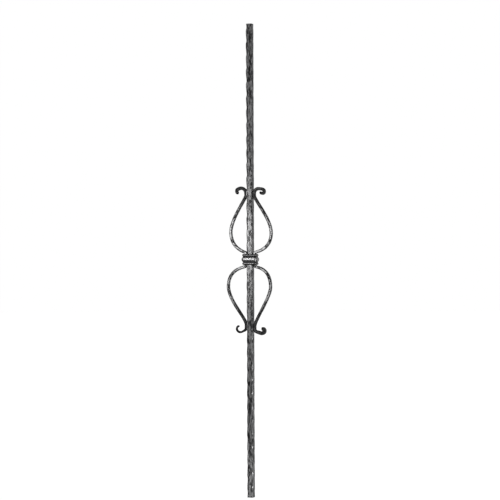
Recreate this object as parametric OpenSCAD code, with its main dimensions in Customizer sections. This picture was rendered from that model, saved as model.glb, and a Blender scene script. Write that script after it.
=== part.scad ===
// Iron stair baluster: a square hammered bar with bowed scrollwork and a moulded collar.
// The foot stands at the origin and the bar rises along Z. The scrollwork lies in the X-Z plane,
// its front towards -Y. The four arms are bent by hand, so each has its own sizes.

/* [Bar] */
// Length of the bar from the foot to the top
bar_length = 1117.6; // [950:0.1:1300]
// Side of the square bar
bar_side = 14.3; // [12:0.1:20]
// Height of the lowest row of hammer blows
blow_start = 7.8; // [2:0.1:30]
// Height from one row of hammer blows to the next
blow_pitch = 31.6; // [26:0.1:45]
// Length of the flat that one blow leaves on a corner
blow_length = 24; // [10:0.5:25]
// Depth of the blows above the collar: back right, back left, front left and front right corner
upper_blows = [0.6, 1.4, 2.5, 1.4]; // [0.3:0.1:3.2]
// Depth of the blows below the collar, corner by corner in the same order
lower_blows = [0.6, 1.4, 1.6, 2.2]; // [0.3:0.1:3.2]
// How far up the rows sit on each corner, in the same order
blow_lift = [0, 0, 0, 10.5]; // [0:0.5:30]
// How much the depth differs from blow to blow, as a share
blow_spread = 0.22; // [0:0.02:0.3]

/* [Scroll rod] */
// Side of the square rod that the scrolls are bent from
rod_side = 7; // [5:0.1:9]
// Inner radius of the sharp bend at the mouth of the collar
mouth_r = 0.8; // [0.5:0.1:4]
// Angle that this bend throws the rod outwards
mouth_splay = 72; // [50:1:80]
// Straight length of each neck that lies against the bar
neck_seat = 6; // [3:0.5:10]
// Distance from one hammer mark to the next along the rod
mark_pitch = 7.6; // [5:0.2:12]
// Corner cut of the rod between the hammer marks
mark_min = 0.5; // [0.2:0.1:0.9]
// Corner cut of the rod at a hammer mark
mark_max = 1.5; // [1:0.1:1.8]

/* [Upper left arm] */
// Reach of the bow from the bar's axis
upper_left_reach = 52.5; // [42:0.5:70]
// Height of the widest place from the collar's middle
upper_left_bow = 65; // [52:1:85]
// Height of the neck from the collar's middle
upper_left_neck = 150.5; // [135:0.5:180]
// Pull of the curve at the collar, below the bow, above the bow and at the neck
upper_left_pull = [14, 31, 29, 6]; // [4:1:45]
// Radius of the hook's first bend, away from the bar
upper_left_hook_r = 12; // [6:0.5:16]
// Turn of that first bend
upper_left_hook_turn = 110; // [60:1:115]
// Straight run between the first bend and the end curl
upper_left_hook_run = 4; // [0.5:0.5:14]
// Radius at which the end curl begins
upper_left_curl_r = 5; // [4:0.1:14]
// Radius at which the end curl closes
upper_left_curl_end_r = 4.8; // [2:0.1:8]
// Turn of the end curl
upper_left_curl_turn = 160; // [90:5:310]
// Thickness of the rod at the tip
upper_left_tip_t = 7.6; // [2.5:0.1:9]
// Width of the rod at the tip
upper_left_tip_w = 4.5; // [4:0.5:18]
// Swell of the rod's thickness half way along the hook
upper_left_swell = 0.8; // [-1.5:0.1:1.4]
// Twist of the flattened tip about the rod
upper_left_twist = -16; // [-40:1:40]

/* [Upper right arm] */
// Reach of the bow from the bar's axis
upper_right_reach = 56; // [42:0.5:70]
// Height of the widest place from the collar's middle
upper_right_bow = 63; // [52:1:85]
// Height of the neck from the collar's middle
upper_right_neck = 151; // [135:0.5:180]
// Pull of the curve at the collar, below the bow, above the bow and at the neck
upper_right_pull = [8, 37, 32, 11]; // [4:1:45]
// Radius of the hook's first bend, away from the bar
upper_right_hook_r = 10; // [6:0.5:16]
// Turn of that first bend
upper_right_hook_turn = 98; // [60:1:115]
// Straight run between the first bend and the end curl
upper_right_hook_run = 8; // [0.5:0.5:14]
// Radius at which the end curl begins
upper_right_curl_r = 6.8; // [4:0.1:14]
// Radius at which the end curl closes
upper_right_curl_end_r = 2.3; // [2:0.1:8]
// Turn of the end curl
upper_right_curl_turn = 305; // [90:5:310]
// Thickness of the rod at the tip
upper_right_tip_t = 4; // [2.5:0.1:8]
// Width of the rod at the tip
upper_right_tip_w = 12; // [4:0.5:18]
// Swell of the rod's thickness half way along the hook
upper_right_swell = 1.9; // [-1.5:0.1:2]
// Twist of the flattened tip about the rod
upper_right_twist = 0; // [-40:1:40]

/* [Lower left arm] */
// Reach of the bow from the bar's axis
lower_left_reach = 59; // [42:0.5:70]
// Height of the widest place from the collar's middle
lower_left_bow = 64; // [52:1:85]
// Height of the neck from the collar's middle
lower_left_neck = 155; // [135:0.5:180]
// Pull of the curve at the collar, above the bow, below the bow and at the neck
lower_left_pull = [8, 40, 33, 16]; // [4:1:45]
// Radius of the hook's first bend, away from the bar
lower_left_hook_r = 7.5; // [6:0.5:16]
// Turn of that first bend
lower_left_hook_turn = 62; // [60:1:115]
// Straight run between the first bend and the end curl
lower_left_hook_run = 7; // [0.5:0.5:14]
// Radius at which the end curl begins
lower_left_curl_r = 10.8; // [4:0.1:14]
// Radius at which the end curl closes
lower_left_curl_end_r = 4; // [2:0.1:8]
// Turn of the end curl
lower_left_curl_turn = 225; // [90:5:310]
// Thickness of the rod at the tip
lower_left_tip_t = 4; // [2.5:0.1:9]
// Width of the rod at the tip
lower_left_tip_w = 4.5; // [4:0.5:18]
// Swell of the rod's thickness half way along the hook
lower_left_swell = -1.1; // [-1.5:0.1:2]
// Twist of the flattened tip about the rod
lower_left_twist = -30; // [-40:1:40]

/* [Lower right arm] */
// Reach of the bow from the bar's axis
lower_right_reach = 54; // [42:0.5:70]
// Height of the widest place from the collar's middle
lower_right_bow = 65; // [52:1:85]
// Height of the neck from the collar's middle
lower_right_neck = 158; // [135:0.5:180]
// Pull of the curve at the collar, above the bow, below the bow and at the neck
lower_right_pull = [8, 42, 24, 15]; // [4:1:45]
// Radius of the hook's first bend, away from the bar
lower_right_hook_r = 7; // [6:0.5:16]
// Turn of that first bend
lower_right_hook_turn = 74; // [60:1:115]
// Straight run between the first bend and the end curl
lower_right_hook_run = 11.5; // [0.5:0.5:14]
// Radius at which the end curl begins
lower_right_curl_r = 6.6; // [4:0.1:14]
// Radius at which the end curl closes
lower_right_curl_end_r = 5; // [2:0.1:8]
// Turn of the end curl
lower_right_curl_turn = 200; // [90:5:310]
// Thickness of the rod at the tip
lower_right_tip_t = 8; // [2.5:0.1:9]
// Width of the rod at the tip
lower_right_tip_w = 14; // [4:0.5:18]
// Swell of the rod's thickness half way along the hook
lower_right_swell = 1; // [-1.5:0.1:2]
// Twist of the flattened tip about the rod
lower_right_twist = -4; // [-40:1:40]

/* [Collar] */
// Height of the collar's middle above the foot
collar_z = 561.5; // [450:0.1:650]
// Height of the collar
collar_h = 25.8; // [22:0.1:30]
// Thickness of the strip in its grooves
strip_t = 2.4; // [1.6:0.1:3]
// Thickness of the strip at the middle bead
bead_t = 5.4; // [4:0.1:6.5]
// Height of the middle bead
bead_h = 11; // [8:0.1:13]
// Thickness of the strip at its two rims
rim_t = 3.8; // [3.5:0.1:5]
// Height of each rim
rim_h = 4.6; // [3:0.1:5]
// Inner radius of the strip's bends
bend_r = 1; // [0.4:0.1:3]
// Width of the open seam at the back
seam_w = 0.5; // [0.2:0.1:2]

/* [Welds] */
// Leg of each weld bead
weld_leg = 2.8; // [1.5:0.1:3.4]
// Length of each weld bead
weld_length = 6; // [4:0.5:9]

/* [Hidden] */
$fn = 64;

// Places of the sizes in an arm's list
reach_index = 0;
bow_index = 1;
neck_index = 2;
pull_index = 3;
hook_r_index = 4;
hook_turn_index = 5;
hook_run_index = 6;
curl_r_index = 7;
curl_end_r_index = 8;
curl_turn_index = 9;
tip_t_index = 10;
tip_w_index = 11;
swell_index = 12;
twist_index = 13;

// Points along each stretch of an arm
mouth_steps = 12;
bow_steps = 60;
bend_steps = 16;
curl_steps = 44;

// Rings from one hammer mark to the next, and the luck of the marks: least share and seed
mark_steps = 4;
mark_least_share = 0.4;
mark_seed = 30;
// Size of the last ring at a tip, as a share of the rod there
tip_share = 0.7;
// How late along the hook the rod widens and twists, as a power: 1 is evenly
late_power = 1.5;
// Least room between the centre of a curl and the rod's inner face, so that no curl folds over
curl_room = 0.2;
// How far a cutting shape reaches past what it cuts
spare = 2;

half_bar = bar_side / 2;
half_rod = rod_side / 2;
// Distance from the bar's axis to the rod's own axis where the two lie side by side
rod_axis = half_bar + half_rod;
// Height from the collar's middle at which the rod leaves the collar, just clear of its rim
mouth_gap = 0.1;
mouth_v = collar_h / 2 + mouth_gap;

upper_left = [upper_left_reach, upper_left_bow, upper_left_neck, upper_left_pull,
    upper_left_hook_r, upper_left_hook_turn, upper_left_hook_run, upper_left_curl_r,
    upper_left_curl_end_r, upper_left_curl_turn, upper_left_tip_t, upper_left_tip_w,
    upper_left_swell, upper_left_twist];
upper_right = [upper_right_reach, upper_right_bow, upper_right_neck, upper_right_pull,
    upper_right_hook_r, upper_right_hook_turn, upper_right_hook_run, upper_right_curl_r,
    upper_right_curl_end_r, upper_right_curl_turn, upper_right_tip_t, upper_right_tip_w,
    upper_right_swell, upper_right_twist];
lower_left = [lower_left_reach, lower_left_bow, lower_left_neck, lower_left_pull,
    lower_left_hook_r, lower_left_hook_turn, lower_left_hook_run, lower_left_curl_r,
    lower_left_curl_end_r, lower_left_curl_turn, lower_left_tip_t, lower_left_tip_w,
    lower_left_swell, lower_left_twist];
lower_right = [lower_right_reach, lower_right_bow, lower_right_neck, lower_right_pull,
    lower_right_hook_r, lower_right_hook_turn, lower_right_hook_run, lower_right_curl_r,
    lower_right_curl_end_r, lower_right_curl_turn, lower_right_tip_t, lower_right_tip_w,
    lower_right_swell, lower_right_twist];

// Rows of blows that fit on the bar, and how each of the four corners differs
blow_rows = floor((bar_length - blow_start) / blow_pitch) + 1;
blow_seed = 11;
blow_luck = rands(-1, 1, 4 * blow_rows, blow_seed);
// Where along a blow its deepest place lies, as a share of half its length
blow_lean = 0.45;

function mix(a, b, share) = a + (b - a) * share;

// Direction of a heading; a heading of 0 points away from the collar
function turned(heading) = [sin(heading), cos(heading)];

// Smooth curve from a to d, pulled towards b and c
function bezier(a, b, c, d, steps) = [
    for (i = [0 : steps - 1])
        let (t = i / steps, s = 1 - t)
        s * s * s * a + 3 * s * s * t * b + 3 * s * t * t * c + t * t * t * d
];

// Points on a circle, from one angle towards another
function arc(centre, r, from, to, steps) = [
    for (i = [0 : steps - 1])
        let (a = from + (to - from) * i / steps)
        centre + r * [cos(a), sin(a)]
];

// Points along a bend that starts at a heading and turns away from the bar, its radius changing
// evenly from one end to the other
function bend_path(start, heading, from_r, to_r, turn, steps) = [
    for (
        i = 0, p = start;
        i <= steps;
        p = p + turned(heading + turn * (i + 0.5) / steps)
            * mix(from_r, to_r, (i + 0.5) / steps) * turn / steps * PI / 180,
        i = i + 1
    )
        p
];

// The hook: a first bend away from the bar, a short run and the end curl
function hook_path(arm) =
    let (
        seat_end = [rod_axis, arm[neck_index] + neck_seat],
        turn = arm[hook_turn_index],
        first = bend_path(seat_end, 0, arm[hook_r_index], arm[hook_r_index], turn, bend_steps),
        curl_start = first[bend_steps] + arm[hook_run_index] * turned(turn),
        thickest = rod_side + max(0, arm[swell_index]),
        from_r = max(arm[curl_r_index], thickest / 2 + curl_room),
        to_r = max(arm[curl_end_r_index], arm[tip_t_index] / 2 + curl_room)
    )
    concat(
        first,
        bend_path(curl_start, turn, from_r, to_r, arm[curl_turn_index], curl_steps)
    );

// One arm from the collar's middle to the tip of its hook, as distance out and distance along
function arm_path(arm) =
    let (
        bend = mouth_r + half_rod,
        pull = arm[pull_index],
        centre = [rod_axis + bend, mouth_v],
        mouth = centre + bend * [-cos(mouth_splay), sin(mouth_splay)],
        bow = [arm[reach_index] - half_rod, arm[bow_index]],
        neck = [rod_axis, arm[neck_index]]
    )
    concat(
        arc(centre, bend, 180, 180 - mouth_splay, mouth_steps),
        bezier(mouth, mouth + pull[0] * turned(mouth_splay), bow - [0, pull[1]], bow, bow_steps),
        bezier(bow, bow + [0, pull[2]], neck - [0, pull[3]], neck, bow_steps),
        [neck],
        hook_path(arm)
    );

// Running length at each point of a path
function running(path) = [
    for (
        i = 0, s = 0;
        i < len(path);
        s = s + (i + 1 < len(path) ? norm(path[i + 1] - path[i]) : 0),
        i = i + 1
    )
        s
];

function total(path) = let (s = running(path)) s[len(s) - 1];

function reversed(path) = [for (i = [len(path) - 1 : -1 : 0]) path[i]];

// Whole scroll as points in X and Z, from the tip of the upper hook to the tip of the lower one
function scroll_path(side, upper, lower) = concat(
    [for (p = reversed(arm_path(upper))) [side * p[0], collar_z + p[1]]],
    [for (p = arm_path(lower)) [side * p[0], collar_z - p[1]]]
);

// How far into a hook a place lies: 0 at the neck, 1 at the tip
function into_hook(from_tip, hook) = max(0, 1 - from_tip / hook);

// What the hook adds to the rod's thickness, width and twist, part of the way into the hook
function thicker(arm, share) =
    (arm[tip_t_index] - rod_side) * share + 4 * arm[swell_index] * share * (1 - share);

function wider(arm, share) = (arm[tip_w_index] - rod_side) * pow(share, late_power);

function twisted(arm, share) = arm[twist_index] * pow(share, late_power);

// Eight points around the rod, twisted about it: each corner is cut off by its own amount
function rod_ring(place, ahead, t, w, cut, twist) =
    let (out = [ahead[1], -ahead[0]], a = t / 2, b = w / 2)
    [
        for (q = [
            [a - cut[0], b], [a, b - cut[0]],
            [a, cut[1] - b], [a - cut[1], -b],
            [cut[2] - a, -b], [-a, cut[2] - b],
            [-a, b - cut[3]], [cut[3] - a, b]
        ])
            let (
                across = q[0] * cos(twist) - q[1] * sin(twist),
                deep = q[0] * sin(twist) + q[1] * cos(twist)
            )
            [place[0] + out[0] * across, deep, place[1] + out[1] * across]
    ];

// A rod of eight-sided rings along a path, with hammer marks on its corners
module scroll(side, upper, lower) {
    path = scroll_path(side, upper, lower);
    s = running(path);
    last = len(path) - 1;
    length = s[last];
    upper_hook = total(hook_path(upper));
    lower_hook = total(hook_path(lower));
    steps = round(mark_steps * length / mark_pitch);
    x_at = [for (i = [0 : last]) [s[i], path[i][0]]];
    z_at = [for (i = [0 : last]) [s[i], path[i][1]]];
    places = [
        for (i = [0 : steps])
            let (here = length * i / steps)
            [lookup(here, x_at), lookup(here, z_at)]
    ];
    luck = rands(mark_least_share, 1, 4 * (steps + 1), mark_seed + side);
    rings = [
        for (i = [0 : steps])
            let (
                here = length * i / steps,
                up = into_hook(here, upper_hook),
                down = into_hook(length - here, lower_hook),
                tip = i == 0 || i == steps ? tip_share : 1,
                t = tip * (rod_side + thicker(upper, up) + thicker(lower, down)),
                w = rod_side + wider(upper, up) + wider(lower, down),
                twist = -side * (twisted(upper, up) + twisted(lower, down)),
                step = places[min(i + 1, steps)] - places[max(i - 1, 0)],
                mark = 0.5 + 0.5 * cos(360 * here / mark_pitch),
                fit = min(1, t / rod_side),
                cut = [
                    for (k = [0 : 3])
                        fit * mix(mark_min, mark_max, mark * luck[4 * floor(i / mark_steps) + k])
                ]
            )
            rod_ring(places[i], step / norm(step), t, w, cut, twist)
    ];
    points = [for (r = rings) each r];
    walls = [
        for (i = [0 : steps - 1], j = [0 : 7])
            let (a = 8 * i + j, b = 8 * i + (j + 1) % 8)
            each [[a, b, b + 8], [a, b + 8, a + 8]]
    ];
    ends = [[7, 6, 5, 4, 3, 2, 1, 0], [for (j = [0 : 7]) 8 * steps + j]];
    polyhedron(points, concat(walls, ends));
}

module left_scroll() {
    color([0.27, 0.27, 0.28])
    scroll(-1, upper_left, lower_left);
}

module right_scroll() {
    color([0.29, 0.29, 0.3])
    scroll(1, upper_right, lower_right);
}

// The wedge that one hammer blow takes off a corner: a long flat and a short run-out
module blow(depth, lean) {
    linear_extrude(height = 2 * (depth + spare), center = true)
        polygon([
            [spare, -blow_length / 2],
            [0, -blow_length / 2],
            [-depth, lean * blow_length / 2],
            [0, blow_length / 2],
            [spare, blow_length / 2]
        ]);
}

module main_bar() {
    color([0.24, 0.24, 0.25])
    difference() {
        translate([-half_bar, -half_bar, 0])
            cube([bar_side, bar_side, bar_length]);
        for (row = [0 : blow_rows - 1], corner = [0 : 3])
            let (
                z = blow_start + blow_lift[corner] + row * blow_pitch,
                above = z > collar_z,
                usual = above ? upper_blows[corner] : lower_blows[corner],
                depth = usual * (1 + blow_spread * blow_luck[4 * row + corner]),
                lean = above ? -blow_lean : blow_lean
            )
            rotate([0, 0, 45 + 90 * corner])
                translate([half_bar * sqrt(2), 0, z])
                rotate([90, 0, 0])
                blow(depth, lean);
    }
}

// Section of the collar's strip: distance out from its inner face, and height
module strip_section() {
    sag = bead_t - strip_t;
    bead_r = (bead_h * bead_h / 4 + sag * sag) / (2 * sag);
    translate([0, rim_h / 2])
        square([strip_t, collar_h - rim_h]);
    intersection() {
        translate([bead_t - bead_r, collar_h / 2])
            circle(bead_r);
        translate([0, (collar_h - bead_h) / 2])
            square([bead_t, bead_h]);
    }
    for (z = [0, collar_h - rim_h])
        translate([0, z])
        intersection() {
            translate([rim_t - rim_h / 2, rim_h / 2])
                circle(rim_h / 2);
            square([rim_t, rim_h]);
        }
}

// A straight stretch of the strip along X, centred, its inner face at y = 0 and its outside at -Y
module strip_run(length) {
    translate([-length / 2, 0, 0])
        rotate([90, 0, 90])
        linear_extrude(height = length)
        mirror([1, 0])
        strip_section();
}

module strip_bend() {
    rotate_extrude(angle = 90)
        translate([bend_r, 0])
        strip_section();
}

module collar() {
    inner_x = half_bar + rod_side;
    inner_y = half_bar;
    color([0.4, 0.4, 0.41])
    translate([0, 0, collar_z - collar_h / 2])
    difference() {
        union() {
            for (turn = [0, 180])
                rotate([0, 0, turn]) {
                    translate([0, -inner_y, 0])
                        strip_run(2 * (inner_x - bend_r));
                    translate([inner_x, 0, 0])
                        rotate([0, 0, 90])
                        strip_run(2 * (inner_y - bend_r));
                    translate([inner_x - bend_r, inner_y - bend_r, 0])
                        strip_bend();
                    translate([inner_x - bend_r, bend_r - inner_y, 0])
                        rotate([0, 0, -90])
                        strip_bend();
                }
        }
        translate([-seam_w / 2, 0, -spare])
            cube([seam_w, inner_y + bead_t + spare, collar_h + 2 * spare]);
    }
}

// A rounded bead in the corner between the bar's side and the back of a neck
module bead() {
    straight = max(weld_length - 2 * weld_leg, weld_leg / 10);
    intersection() {
        union() {
            cylinder(h = straight, r = weld_leg, center = true);
            for (end = [-1, 1])
                translate([0, 0, end * straight / 2])
                    sphere(weld_leg);
        }
        translate([0, 0, -weld_length])
            cube([weld_leg, weld_leg, 2 * weld_length]);
    }
}

module tack_welds() {
    color([0.33, 0.33, 0.33])
    for (neck = [[upper_left, -1, 1], [upper_right, 1, 1], [lower_left, -1, -1], [lower_right, 1, -1]])
        let (
            side = neck[1],
            z = collar_z + neck[2] * (neck[0][neck_index] + neck_seat / 2)
        )
        translate([side * half_bar, half_rod, z])
            mirror([side < 0 ? 1 : 0, 0, 0])
            bead();
}

main_bar();
left_scroll();
right_scroll();
collar();
tack_welds();
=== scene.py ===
import heapq
import math

import bmesh
import bpy
import numpy as np
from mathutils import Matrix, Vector, noise
from mathutils.bvhtree import BVHTree


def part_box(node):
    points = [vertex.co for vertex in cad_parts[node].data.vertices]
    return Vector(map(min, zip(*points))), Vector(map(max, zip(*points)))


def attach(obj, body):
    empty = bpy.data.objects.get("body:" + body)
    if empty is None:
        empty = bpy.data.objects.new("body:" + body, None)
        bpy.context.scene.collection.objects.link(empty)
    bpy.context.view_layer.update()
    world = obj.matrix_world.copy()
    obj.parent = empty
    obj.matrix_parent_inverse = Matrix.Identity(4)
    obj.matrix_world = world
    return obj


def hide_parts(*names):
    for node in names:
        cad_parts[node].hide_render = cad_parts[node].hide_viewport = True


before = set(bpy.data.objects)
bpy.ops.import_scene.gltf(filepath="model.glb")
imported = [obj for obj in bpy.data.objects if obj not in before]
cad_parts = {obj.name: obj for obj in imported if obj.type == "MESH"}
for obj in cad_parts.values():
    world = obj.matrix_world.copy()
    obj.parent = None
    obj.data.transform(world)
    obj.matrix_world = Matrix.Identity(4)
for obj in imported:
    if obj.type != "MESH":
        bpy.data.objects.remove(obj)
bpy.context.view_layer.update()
mm = 0.001


class Wire:
    # wraps one socket of a node tree, so that shader maths reads as plain maths
    def __init__(self, tree, socket=None):
        self.tree = tree
        self.socket = socket

    def node(self, kind, settings=None, values=None, out=0):
        made = self.tree.nodes.new(kind)
        for name, value in (settings or {}).items():
            setattr(made, name, value)
        for name, value in (values or {}).items():
            if isinstance(value, Wire):
                self.tree.links.new(value.socket, made.inputs[name])
            else:
                made.inputs[name].default_value = value
        return Wire(self.tree, made.outputs[out])

    def maths(self, operation, first, second):
        return self.node("ShaderNodeMath", {"operation": operation}, {0: first, 1: second})

    def __add__(self, other):
        return self.maths("ADD", self, other)

    def __radd__(self, other):
        return self.maths("ADD", other, self)

    def __sub__(self, other):
        return self.maths("SUBTRACT", self, other)

    def __rsub__(self, other):
        return self.maths("SUBTRACT", other, self)

    def __mul__(self, other):
        return self.maths("MULTIPLY", self, other)

    def __rmul__(self, other):
        return self.maths("MULTIPLY", other, self)

    def between(self, low, high):
        # 0 below low, 1 above high, smooth in between
        return self.node("ShaderNodeMapRange", {"interpolation_type": "SMOOTHSTEP"},
                         {"Value": self, "From Min": low, "From Max": high})

    def blend(self, first, second):
        # mixes two colours by this mask
        return self.node("ShaderNodeMix", {"data_type": "RGBA"}, {0: self, 6: first, 7: second}, out=2)

    def noise(self, scale, detail, roughness):
        # this wire is the place to read the noise at
        return self.node("ShaderNodeTexNoise", None,
                         {"Vector": self, "Scale": scale, "Detail": detail, "Roughness": roughness})

    def stretched(self, amounts):
        return self.node("ShaderNodeMapping", None, {"Vector": self, "Scale": amounts})


# what all the iron has in common: the two noises, their shares in the rubbed mask and in the bump
grain = {
    "patchDetail": 3.0, "patchRoughness": 0.6, "speckDetail": 4.0, "speckRoughness": 0.65,
    "patchShare": 0.55, "speckShare": 0.33, "crestShare": 0.12,
    "patchHeight": 0.65, "speckHeight": 0.35, "roughWobble": 0.12,
}


def forgedIron(name, look):
    # dark forge scale in the hollows, rubbed steel on the crests; a positive edge share adds edge wear, a
    # negative one paints shade on the edges; a mark near the collar paints a pool of light on the bar, and
    # a darkening mark paints shade in the collar's grooves and on its rims and makes the rods darker
    # towards their tips; "run" is a place across, through and along the iron, so that the streaks follow
    # each bend
    material = bpy.data.materials.new(name)
    material.use_nodes = True
    shader = material.node_tree.nodes["Principled BSDF"]
    wire = Wire(material.node_tree)
    place = wire.node("ShaderNodeAttribute", {"attribute_name": "run"}, out="Vector")
    patches = place.stretched((1, 1, look["patchSqueeze"]))
    patches = patches.noise(look["patches"], grain["patchDetail"], grain["patchRoughness"])
    specks = place.stretched((1, 1, look["speckSqueeze"]))
    specks = specks.noise(look["specks"], grain["speckDetail"], grain["speckRoughness"])
    crest, edgeMark, darkening, paintedCollarLight = (wire.node("ShaderNodeAttribute", {"attribute_name": mark}, out="Fac")
                                  for mark in ("crest", "edge", "darkening", "paintedCollarLight"))
    rubbed = grain["patchShare"] * patches + grain["speckShare"] * specks + grain["crestShare"] * crest
    rubbed = rubbed.between(*look["rubbedFrom"])
    # painted light and shade in the colour: the mark near the collar brightens, the darkening mark and a
    # negative edge share darken
    bright = rubbed + edgeMark * look["edgeWearAndShade"] + paintedCollarLight * look["paintedCollarLightShare"] - darkening * look["darkeningShare"]
    bright = bright.node("ShaderNodeClamp", None, {"Value": bright})
    colour = bright.blend(look["scaleColour"], look["steelColour"])
    colour = darkening.blend(colour, look["darkeningColour"])
    rough = look["scaleRough"] - bright * (look["scaleRough"] - look["steelRough"])
    rough = rough + grain["roughWobble"] * (specks - 0.5)
    height = grain["speckHeight"] * specks + grain["patchHeight"] * patches
    bump = wire.node("ShaderNodeBump", None,
                     {"Strength": look["bump"], "Distance": look["bumpDepth"], "Height": height})
    links = material.node_tree.links
    links.new(colour.socket, shader.inputs["Base Color"])
    links.new(rough.socket, shader.inputs["Roughness"])
    links.new(bump.socket, shader.inputs["Normal"])
    shader.inputs["Metallic"].default_value = look["metallic"]
    return material


def newPiece(name, points, faces, material):
    mesh = bpy.data.meshes.new(name)
    mesh.from_pydata(points, [], faces)
    mesh.update()
    piece = bpy.data.objects.new(name, mesh)
    bpy.context.scene.collection.objects.link(piece)
    dress(piece, material)
    return piece


def dress(piece, material):
    piece.data.materials.clear()
    piece.data.materials.append(material)
    piece.data.polygons.foreach_set("use_smooth", [True] * len(piece.data.polygons))


def cadSkin(node):
    # the solid's own vertices and faces, in the shared frame
    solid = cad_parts[node]
    points = [solid.matrix_world @ v.co for v in solid.data.vertices]
    return points, [tuple(p.vertices) for p in solid.data.polygons]


def remeshed(node, name, voxel, material):
    # an even skin over a solid, once its doubled points are merged
    oneWithin = 0.002 * mm
    points, faces = cadSkin(node)
    rough = newPiece(name + "Rough", points, faces, material)
    merged = bmesh.new()
    merged.from_mesh(rough.data)
    bmesh.ops.remove_doubles(merged, verts=merged.verts, dist=oneWithin)
    merged.to_mesh(rough.data)
    merged.free()
    modifier = rough.modifiers.new("even", "REMESH")
    modifier.mode = "VOXEL"
    modifier.voxel_size = voxel
    depsgraph = bpy.context.evaluated_depsgraph_get()
    even = bpy.data.meshes.new_from_object(rough.evaluated_get(depsgraph))
    bpy.data.objects.remove(rough)
    piece = bpy.data.objects.new(name, even)
    even.name = name
    bpy.context.scene.collection.objects.link(piece)
    dress(piece, material)
    return piece


def readEdges(mesh):
    edges = np.empty(2 * len(mesh.edges), dtype=np.int32)
    mesh.edges.foreach_get("vertices", edges)
    return edges[0::2], edges[1::2]


def readPoints(mesh):
    points = np.empty(3 * len(mesh.vertices))
    mesh.vertices.foreach_get("co", points)
    return points.reshape(-1, 3)


def readNormals(mesh):
    normals = np.empty(3 * len(mesh.vertices))
    mesh.vertices.foreach_get("normal", normals)
    return normals.reshape(-1, 3)


def neighbourMean(mesh, values):
    # for every vertex, the mean of values over the vertices it shares an edge with
    a, b = readEdges(mesh)
    total = np.zeros_like(values)
    count = np.zeros(len(values))
    np.add.at(total, a, values[b])
    np.add.at(total, b, values[a])
    np.add.at(count, a, 1)
    np.add.at(count, b, 1)
    return total / count.reshape((-1,) + (1,) * (values.ndim - 1))


def soften(piece, passes):
    # each pass takes every point half way to the mean of its neighbours
    points = readPoints(piece.data)
    for step in range(passes):
        points += (neighbourMean(piece.data, points) - points) / 2
    piece.data.vertices.foreach_set("co", points.ravel())
    piece.data.update()


def keepMark(mesh, name, values):
    mark = mesh.attributes.new(name, "FLOAT", "POINT")
    mark.data.foreach_set("value", np.clip(values, 0, 1).astype(np.float32))


def keepRun(mesh, places):
    mark = mesh.attributes.new("run", "FLOAT_VECTOR", "POINT")
    mark.data.foreach_set("vector", places.astype(np.float32).ravel())


def hammer(piece, blows, shift, runs=None):
    # shallow dishes side by side, a slow wander and a fine grain, all along the normals;
    # a squeeze below 1 draws them out along the iron's run, which is Z unless runs are given
    mesh = piece.data
    points, normals = readPoints(mesh), readNormals(mesh)
    runs = points.copy() if runs is None else runs
    dish = np.empty(len(points))
    wander = np.empty(len(points))
    fine = np.empty(len(points))
    for i, p in enumerate(runs):
        place = Vector((p[0], p[1], p[2] * blows["squeeze"])) + Vector(shift)
        near = noise.voronoi(place / blows["dishSize"])[0]
        dish[i] = min(near[1] - near[0], 0.5) * 2  # 0 where two dishes meet, 1 in the middle of one
        wander[i] = noise.noise(place / blows["wanderSize"])
        fine[i] = noise.noise(place / blows["grainSize"])
    rise = -blows["dishDepth"] * dish + blows["wanderDepth"] * wander + blows["grainDepth"] * fine
    points += normals * rise[:, None]
    mesh.vertices.foreach_set("co", points.ravel())
    mesh.update()
    keepRun(mesh, runs + np.array(shift))
    keepMark(mesh, "crest", 1 - dish)
    bulge = -np.einsum("ij,ij->i", neighbourMean(mesh, points) - points, readNormals(mesh))
    for step in range(blows["edgeSpread"]):
        bulge = (bulge + neighbourMean(mesh, bulge)) / 2
    keepMark(mesh, "edge", bulge / blows["edgeFull"])


def finishPiece(piece, node):
    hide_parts(node)
    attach(piece, "root")
    print(piece.name, len(piece.data.polygons), "faces")


# the square bar: rings of points cast out onto the solid, then hammered
barPlan = {
    "ringStep": 1.0 * mm, "perSide": 12, "endInset": (0.9, 0.6, 0.3),
    "easings": 2, "easeAround": 0.3, "easeAlong": 0.4,
    "paintedLightCentre": 562 * mm, "paintedLightReach": 105 * mm,  # painted pool of light: the bar's colour is made brighter near the collar
    "shift": (-0.61, 0.53, -0.65),  # where in the noise the bar lies, in metres
    "iron": {
        "patches": 235.0, "patchSqueeze": 0.15, "specks": 520.0, "speckSqueeze": 0.16,
        "rubbedFrom": (0.43, 0.60), "edgeWearAndShade": 0.12, "paintedCollarLightShare": 0.3, "darkeningShare": 0.6,
        "scaleColour": (0.026, 0.026, 0.027, 1), "steelColour": (0.28, 0.28, 0.283, 1),
        "darkeningColour": (0.03, 0.03, 0.031, 1), "scaleRough": 0.50, "steelRough": 0.38, "metallic": 0.9,
        "bump": 0.5, "bumpDepth": 0.08 * mm,
    },
    "blows": {
        "squeeze": 0.4, "dishSize": 5.5 * mm, "dishDepth": 0.12 * mm,
        "wanderSize": 14 * mm, "wanderDepth": 0.15 * mm, "grainSize": 2.2 * mm, "grainDepth": 0.02 * mm,
        "edgeSpread": 2, "edgeFull": 0.05 * mm,
    },
}


def capBand(outer, inner, up):
    count = len(outer)
    band = []
    for k in range(count):
        quad = (outer[k], outer[(k + 1) % count], inner[(k + 1) % count], inner[k])
        band.append(quad if up else quad[::-1])
    return band


def capCorner(a, b, centre, up):
    return (a, b, centre) if up else (b, a, centre)


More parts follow.
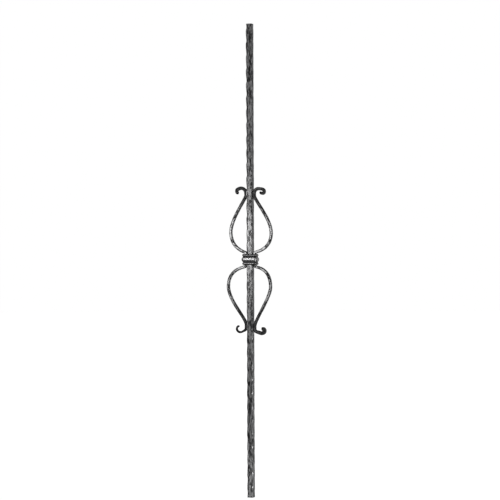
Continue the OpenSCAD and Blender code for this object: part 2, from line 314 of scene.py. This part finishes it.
def castRings(node, toward):
    # one ring of points at each height, where rays from the axis meet the solid
    points, faces = cadSkin(node)
    skin = BVHTree.FromPolygons(points, faces)
    low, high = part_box(node)
    rings = int((high[2] - low[2]) / barPlan["ringStep"])
    inside = 0.001 * mm  # the end rings look for the skin this far in
    grid = np.empty((rings + 1, len(toward), 3))
    for r in range(rings + 1):
        z = low[2] + (high[2] - low[2]) * r / rings
        probe = min(max(z, low[2] + inside), high[2] - inside)
        for k, (x, y) in enumerate(toward):
            hit = skin.ray_cast(Vector((0, 0, probe)), Vector((x, y, 0)).normalized())[0]
            grid[r, k] = (hit[0], hit[1], z)
    for step in range(barPlan["easings"]):
        around = (np.roll(grid, 1, axis=1) + np.roll(grid, -1, axis=1)) / 2
        grid[:, :, :2] += barPlan["easeAround"] * (around - grid)[:, :, :2]
        along = (grid[2:] + grid[:-2]) / 2
        grid[1:-1, :, :2] += barPlan["easeAlong"] * (along - grid[1:-1])[:, :, :2]
    return grid


def buildBar():
    steps = barPlan["perSide"]
    spread = [math.sin(math.pi / 2 * (2 * i / steps - 1)) for i in range(steps)]
    toward = [(1, t) for t in spread] + [(-t, 1) for t in spread]
    toward += [(-1, -t) for t in spread] + [(t, -1) for t in spread]
    grid = castRings("main_bar", toward)
    rings, around = len(grid) - 1, len(toward)
    points = [tuple(p) for p in grid.reshape(-1, 3)]
    faces = []
    for r in range(rings):
        for k in range(around):
            a, b = r * around + k, r * around + (k + 1) % around
            faces.append((a, b, b + around, a + around))
    for start, up in ((0, False), (rings * around, True)):
        edge = list(range(start, start + around))
        z = points[start][2]
        for inset in barPlan["endInset"]:
            inner = list(range(len(points), len(points) + around))
            points += [(points[start + k][0] * inset, points[start + k][1] * inset, z)
                       for k in range(around)]
            faces += capBand(edge, inner, up)
            edge = inner
        centre = len(points)
        points.append((0, 0, z))
        faces += [capCorner(edge[k], edge[(k + 1) % around], centre, up) for k in range(around)]
    bar = newPiece("hammeredBar", points, faces, forgedIron("barIron", barPlan["iron"]))
    hammer(bar, barPlan["blows"], barPlan["shift"])
    # painted pool of light on the bar, brightest at the collar and gone a reach away
    fromCollar = (readPoints(bar.data)[:, 2] - barPlan["paintedLightCentre"]) / barPlan["paintedLightReach"]
    keepMark(bar.data, "paintedCollarLight", 1 - fromCollar ** 2)
    finishPiece(bar, "main_bar")


buildBar()

# the two bent rods with their hooks
rodPlan = {
    "voxel": 0.45 * mm, "softening": 3,
    "slice": 1.5 * mm, "lineEasing": 6, "runEasing": 4,  # how the middle line is found
    "tipDarkFrom": (115 * mm, 35 * mm), "tipDarkMost": 0.75,  # the rods grow darker towards their tips: distances from a tip where the darkening starts and where it is full
    "leftShift": (0.31, 0, 0), "rightShift": (0, 0.47, 0),
    "iron": dict(
        # a negative edge share paints shade along the rods' edges
        barPlan["iron"], patches=230.0, patchSqueeze=0.2, specks=480.0, edgeWearAndShade=-0.7,
        rubbedFrom=(0.43, 0.56), steelColour=(0.36, 0.36, 0.363, 1), darkeningColour=(0.05, 0.05, 0.051, 1),
    ),
    "blows": {
        "squeeze": 0.4, "dishSize": 5.0 * mm, "dishDepth": 0.09 * mm,
        "wanderSize": 7 * mm, "wanderDepth": 0.2 * mm, "grainSize": 2.2 * mm, "grainDepth": 0.010 * mm,
        "edgeSpread": 3, "edgeFull": 0.03 * mm,
    },
}


def walkFrom(mesh, start):
    # distance of every vertex from the start, walked along the edges
    a, b = readEdges(mesh)
    points = readPoints(mesh)
    steps = np.linalg.norm(points[a] - points[b], axis=1)
    order = [[] for p in points]
    for i, j, step in zip(a.tolist(), b.tolist(), steps.tolist()):
        order[i].append((j, step))
        order[j].append((i, step))
    walked = np.full(len(points), np.inf)
    walked[start] = 0
    heap = [(0.0, start)]
    while heap:
        here, i = heapq.heappop(heap)
        if here > walked[i]:
            continue
        for j, step in order[i]:
            if here + step < walked[j]:
                walked[j] = here + step
                heapq.heappush(heap, (here + step, j))
    return walked


def alongRod(mesh):
    # for every vertex its offset across, its depth and its distance along the rod's middle line,
    # and the line's length; the rod lies in the X-Z plane
    points = readPoints(mesh)
    middle = points[np.argmax(np.abs(points[:, 0]))]
    nearest = int(np.argmin(np.linalg.norm(points - middle, axis=1)))
    tip = int(np.argmax(walkFrom(mesh, nearest)))
    walked = walkFrom(mesh, tip)
    cuts = np.arange(0, walked.max(), rodPlan["slice"])
    belongs = np.digitize(walked, cuts) - 1
    line = np.array([points[belongs == i][:, [0, 2]].mean(axis=0) for i in range(len(cuts))])
    for step in range(rodPlan["lineEasing"]):
        line[1:-1] += 0.5 * ((line[2:] + line[:-2]) / 2 - line[1:-1])
    lengths = np.concatenate([[0], np.cumsum(np.linalg.norm(np.diff(line, axis=0), axis=1))])
    runs = np.empty_like(points)
    for i in range(len(cuts)):
        inside = belongs == i
        ahead = line[min(i + 1, len(cuts) - 1)] - line[max(i - 1, 0)]
        ahead /= np.linalg.norm(ahead)
        offset = points[inside][:, [0, 2]] - line[i]
        runs[inside, 0] = offset @ np.array([ahead[1], -ahead[0]])
        runs[inside, 1] = points[inside, 1]
        runs[inside, 2] = lengths[i] + offset @ ahead
    for step in range(rodPlan["runEasing"]):
        runs = (runs + neighbourMean(mesh, runs)) / 2
    return runs, lengths[-1]


def buildRod(node, name, iron, shift):
    rod = remeshed(node, name, rodPlan["voxel"], iron)
    soften(rod, rodPlan["softening"])
    runs, length = alongRod(rod.data)
    hammer(rod, rodPlan["blows"], shift, runs)
    # the rods' colour grows darker towards their tips
    fromTip = np.minimum(runs[:, 2], length - runs[:, 2])
    darkeningStarts, darkeningFull = rodPlan["tipDarkFrom"]
    keepMark(rod.data, "darkening", np.minimum((darkeningStarts - fromTip) / (darkeningStarts - darkeningFull), rodPlan["tipDarkMost"]))
    finishPiece(rod, node)


rodIron = forgedIron("rodIron", rodPlan["iron"])
buildRod("left_scroll", "leftRod", rodIron, rodPlan["leftShift"])
buildRod("right_scroll", "rightRod", rodIron, rodPlan["rightShift"])

# the moulded strip wrapped round the bar and both rods; T is a thickness, H a height
collarPlan = {
    "grooveT": 2.4 * mm, "beadT": 5.4 * mm, "beadH": 11 * mm, "rimT": 3.8 * mm, "rimH": 5.8 * mm,
    "bendR": 1 * mm, "seam": 0.5 * mm,
    "step": 0.7 * mm, "bendSteps": 12, "rimSteps": 14, "beadSteps": 22, "innerSteps": 16,
    "grooveShadeT": (2.9 * mm, 2.4 * mm),  # painted shade in the grooves, by thickness: where it starts, where it is full
    "rimShadeUp": ((0.26, 0.30, 0.39, 0.45), (0, 0.5, 0.5, 1)),  # and painted shade on the rims, darker still at their outer edges, by share of the height
    "shift": (0, 0, 0.2),
    "iron": dict(
        barPlan["iron"], patches=120.0, patchSqueeze=1.5, rubbedFrom=(0.05, 0.65), edgeWearAndShade=0.2,
        darkeningShare=0.8, steelColour=(0.42, 0.42, 0.425, 1), scaleColour=(0.24, 0.24, 0.243, 1),
        scaleRough=0.42, steelRough=0.37, metallic=1.0, bump=0.1,
    ),
    "blows": {
        "squeeze": 1, "dishSize": 7 * mm, "dishDepth": 0.01 * mm,
        "wanderSize": 14 * mm, "wanderDepth": 0.03 * mm, "grainSize": 3.0 * mm, "grainDepth": 0.002 * mm,
        "edgeSpread": 2, "edgeFull": 0.12 * mm,
    },
}


def circleRun(centre, radius, start, end, steps):
    turns = [math.radians(start + (end - start) * i / steps) for i in range(steps + 1)]
    return [(centre[0] + radius * math.cos(a), centre[1] + radius * math.sin(a)) for a in turns]


def stripOutline(height):
    # closed outline as (distance out, height), from the foot of the inner face outwards and up
    plan = collarPlan
    sag = plan["beadT"] - plan["grooveT"]
    beadR = (plan["beadH"] ** 2 / 4 + sag ** 2) / (2 * sag)
    beadTurn = math.degrees(math.asin(plan["beadH"] / 2 / beadR))
    rimR = plan["rimH"] / 2
    rimX = plan["rimT"] - rimR
    foot = math.degrees(math.acos(-rimX / rimR))
    neck = math.degrees(math.acos((plan["grooveT"] - rimX) / rimR))
    lower = circleRun((rimX, rimR), rimR, -foot, neck, plan["rimSteps"])
    beadMiddle = (plan["beadT"] - beadR, height / 2)
    bead = circleRun(beadMiddle, beadR, -beadTurn, beadTurn, plan["beadSteps"])
    upper = circleRun((rimX, height - rimR), rimR, -neck, foot, plan["rimSteps"])
    steps = plan["innerSteps"]
    inner = [(0, height - rimR - (height - 2 * rimR) * i / steps) for i in range(steps + 1)]
    return lower + bead + upper + inner


def wrapPath(halfX, halfY):
    # points and outward directions round the inner rectangle, from one side of the seam to the other
    r, turns, seam = collarPlan["bendR"], collarPlan["bendSteps"], collarPlan["seam"] / 2
    x, y = halfX - r, halfY - r
    corners = [(x, y), (x, -y), (-x, -y), (-x, y)]
    path = []

    def straight(start, end, out):
        count = max(1, round(math.dist(start, end) / collarPlan["step"]))
        for i in range(count):
            share = i / count
            spot = (start[0] + (end[0] - start[0]) * share, start[1] + (end[1] - start[1]) * share)
            path.append((spot, out))

    straight((seam, halfY), (x, halfY), (0, 1))
    for c, corner in enumerate(corners):
        for i in range(turns + 1):
            a = math.radians(90 - 90 * c - 90 * i / turns)
            out = (math.cos(a), math.sin(a))
            path.append(((corner[0] + r * out[0], corner[1] + r * out[1]), out))
        if c < 3:
            last, out = path.pop()
            a = math.radians(-90 * c)
            following = corners[c + 1]
            end = (following[0] + r * math.cos(a), following[1] + r * math.sin(a))
            straight(last, end, out)
    path.pop()
    straight((-x, halfY), (-seam, halfY), (0, 1))
    path.append(((-seam, halfY), (0, 1)))
    return path


def buildCollar():
    low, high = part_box("collar")
    height = high[2] - low[2]
    outline = stripOutline(height)
    halfX, halfY = ((high[i] - low[i]) / 2 - collarPlan["beadT"] for i in (0, 1))
    path = wrapPath(halfX, halfY)
    count = len(outline)
    points = [(x + out[0] * t, y + out[1] * t, low[2] + h) for (x, y), out in path for t, h in outline]
    faces = []
    for r in range(len(path) - 1):
        for k in range(count):
            a, b = r * count + k, r * count + (k + 1) % count
            faces.append((a, b, b + count, a + count))
    faces.append(tuple(range(count - 1, -1, -1)))
    faces.append(tuple(range((len(path) - 1) * count, len(path) * count)))
    collar = newPiece("mouldedCollar", points, faces, forgedIron("collarIron", collarPlan["iron"]))
    hammer(collar, collarPlan["blows"], collarPlan["shift"])
    # painted shade: the collar's grooves and rims are darkened in colour
    darkeningStarts, darkeningFull = collarPlan["grooveShadeT"]
    outward = np.array([t for spot in path for t, h in outline])
    up = np.array([h for spot in path for t, h in outline]) / height
    rims = np.interp(np.abs(up - 0.5), *collarPlan["rimShadeUp"])
    keepMark(collar.data, "darkening", np.maximum((darkeningStarts - outward) / (darkeningStarts - darkeningFull), rims))
    finishPiece(collar, "collar")


buildCollar()

# the weld beads at the back of the necks
weldPlan = {
    "voxel": 0.25 * mm, "softening": 3, "shift": (0, 0, 0),
    "iron": dict(barPlan["iron"], patches=500.0, patchSqueeze=1.0, rubbedFrom=(0.45, 0.7)),
    "blows": {
        "squeeze": 1, "dishSize": 1.8 * mm, "dishDepth": 0.18 * mm,
        "wanderSize": 3 * mm, "wanderDepth": 0.12 * mm, "grainSize": 0.8 * mm, "grainDepth": 0.04 * mm,
        "edgeSpread": 1, "edgeFull": 0.04 * mm,
    },
}


def buildWelds():
    welds = remeshed("tack_welds", "weldBeads", weldPlan["voxel"], forgedIron("weldIron", weldPlan["iron"]))
    soften(welds, weldPlan["softening"])
    hammer(welds, weldPlan["blows"], weldPlan["shift"])
    finishPiece(welds, "tack_welds")


buildWelds()

# pale floor and a white surround, which only the camera sees
stagePlan = {
    "radius": 12.0, "floorSides": 96, "surroundSides": (64, 32), "floorColour": (0.85, 0.85, 0.85, 1),
    "floorGlow": ((0.86, 0.86, 0.86, 1), (1, 1, 1, 1)), "glowFrom": (0.4, 2.5),  # near the foot, far away
    "rough": 0.9,
}


def glowing(name, colour):
    material = bpy.data.materials.new(name)
    material.use_nodes = True
    shader = material.node_tree.nodes["Principled BSDF"]
    shader.inputs["Base Color"].default_value = colour
    shader.inputs["Roughness"].default_value = stagePlan["rough"]
    shader.inputs["Emission Color"].default_value = (1, 1, 1, 1)
    shader.inputs["Emission Strength"].default_value = 1.0
    return material


def stageObject(name, shape, material):
    # an object that only the camera sees
    mesh = bpy.data.meshes.new(name)
    shape.to_mesh(mesh)
    shape.free()
    mesh.materials.append(material)
    made = bpy.data.objects.new(name, mesh)
    bpy.context.scene.collection.objects.link(made)
    made.visible_diffuse = False
    made.visible_glossy = False
    made.visible_transmission = False
    made.visible_shadow = False
    return made


def buildStage():
    floorWhite = glowing("floorWhite", stagePlan["floorColour"])
    wire = Wire(floorWhite.node_tree)
    place = wire.node("ShaderNodeTexCoord", out="Object")
    away = place.node("ShaderNodeVectorMath", {"operation": "LENGTH"}, {0: place}, out="Value")
    glow = away.between(*stagePlan["glowFrom"]).blend(*stagePlan["floorGlow"])
    shader = floorWhite.node_tree.nodes["Principled BSDF"]
    floorWhite.node_tree.links.new(glow.socket, shader.inputs["Emission Color"])
    radius = stagePlan["radius"]
    disc = bmesh.new()
    bmesh.ops.create_circle(disc, cap_ends=True, segments=stagePlan["floorSides"], radius=radius)
    floor = stageObject("paleFloor", disc, floorWhite)
    floor.location.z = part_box("main_bar")[0][2]
    ball = bmesh.new()
    sides, bands = stagePlan["surroundSides"]
    bmesh.ops.create_uvsphere(ball, u_segments=sides, v_segments=bands, radius=radius)
    surround = stageObject("whiteSurround", ball, glowing("surroundWhite", (0, 0, 0, 1)))
    print("stage ready")


buildStage()

# soft studio light: each softbox stands at an azimuth round the bar (0 in front, 90 on the +X side),
# a distance from it and a height, and looks at the bar at its aim height; a spread narrows its beam;
# degrees, metres and watts
studio = {
    "ambient": 0.1,
    "front": {
        "azimuth": -24, "distance": 0.5, "height": 0.62, "aim": 0.62, "size": (0.16, 0.16), "power": 0.4,
    },
    "frontWide": {
        "azimuth": -22, "distance": 2.5, "height": 0.80, "aim": 0.56, "size": (0.8, 1.8), "power": 5.6,
    },
    "over": {
        "azimuth": -22, "distance": 0.45, "height": 0.86, "aim": 0.562, "size": (0.2, 0.12), "spread": 30,
        "power": 0.018,
    },
    "back": {
        "azimuth": 158, "distance": 2.0, "height": 0.5, "aim": 0.5, "size": (1.0, 2.2), "power": 3.8,
    },
    "right": {
        "azimuth": 70, "distance": 1.6, "height": 0.85, "aim": 0.6, "size": (0.5, 0.9), "power": 8,
    },
    "floorFront": {
        "azimuth": -20, "distance": 0.35, "height": 0.03, "aim": 0.03, "size": (0.4, 0.08), "spread": 50,
        "power": 0.026,
    },
    "floorSide": {
        "azimuth": 75, "distance": 0.26, "height": -0.01, "aim": 0.18, "size": (0.42, 0.42), "spread": 60,
        "power": 0.65,
    },
}


def standing(azimuth, distance, height):
    a = math.radians(azimuth)
    return Vector((distance * math.sin(a), -distance * math.cos(a), height))


def softbox(name, setting):
    lamp = bpy.data.lights.new(name, "AREA")
    lamp.shape = "RECTANGLE"
    lamp.size, lamp.size_y = setting["size"]
    lamp.energy = setting["power"]
    lamp.spread = math.radians(setting.get("spread", 180))
    light = bpy.data.objects.new(name, lamp)
    light.location = standing(setting["azimuth"], setting["distance"], setting["height"])
    toBar = Vector((0, 0, setting["aim"])) - light.location
    light.rotation_euler = toBar.to_track_quat("-Z", "Y").to_euler()
    light.visible_camera = False
    bpy.context.scene.collection.objects.link(light)


def buildLights():
    for name, setting in studio.items():
        if name != "ambient":
            softbox(name, setting)
    world = bpy.data.worlds.new("studioAir")
    world.use_nodes = True
    world.node_tree.nodes["Background"].inputs["Color"].default_value = (1, 1, 1, 1)
    world.node_tree.nodes["Background"].inputs["Strength"].default_value = studio["ambient"]
    bpy.context.scene.world = world
    bpy.context.scene.view_settings.view_transform = "Standard"
    print("lights ready")


buildLights()

# the camera stands to the right of the front, level with the middle of the picture
shot = {
    "azimuth": 20.2, "distance": 4.0, "aimHeight": 0.5838, "aimSide": -0.0008,
    "roll": 0.2, "pictureHeight": 1.1804, "seesTo": 40,
}


def buildCamera():
    data = bpy.data.cameras.new("shotCamera")
    camera = bpy.data.objects.new("shotCamera", data)
    a = math.radians(shot["azimuth"])
    aside = Vector((math.cos(a), math.sin(a), 0)) * shot["aimSide"]
    camera.location = standing(shot["azimuth"], shot["distance"], shot["aimHeight"]) + aside
    camera.rotation_euler = (math.radians(90), math.radians(shot["roll"]), a)
    data.lens = data.sensor_width * shot["distance"] / shot["pictureHeight"]
    data.clip_end = shot["seesTo"]
    bpy.context.scene.collection.objects.link(camera)
    bpy.context.scene.camera = camera
    print("camera ready")


buildCamera()
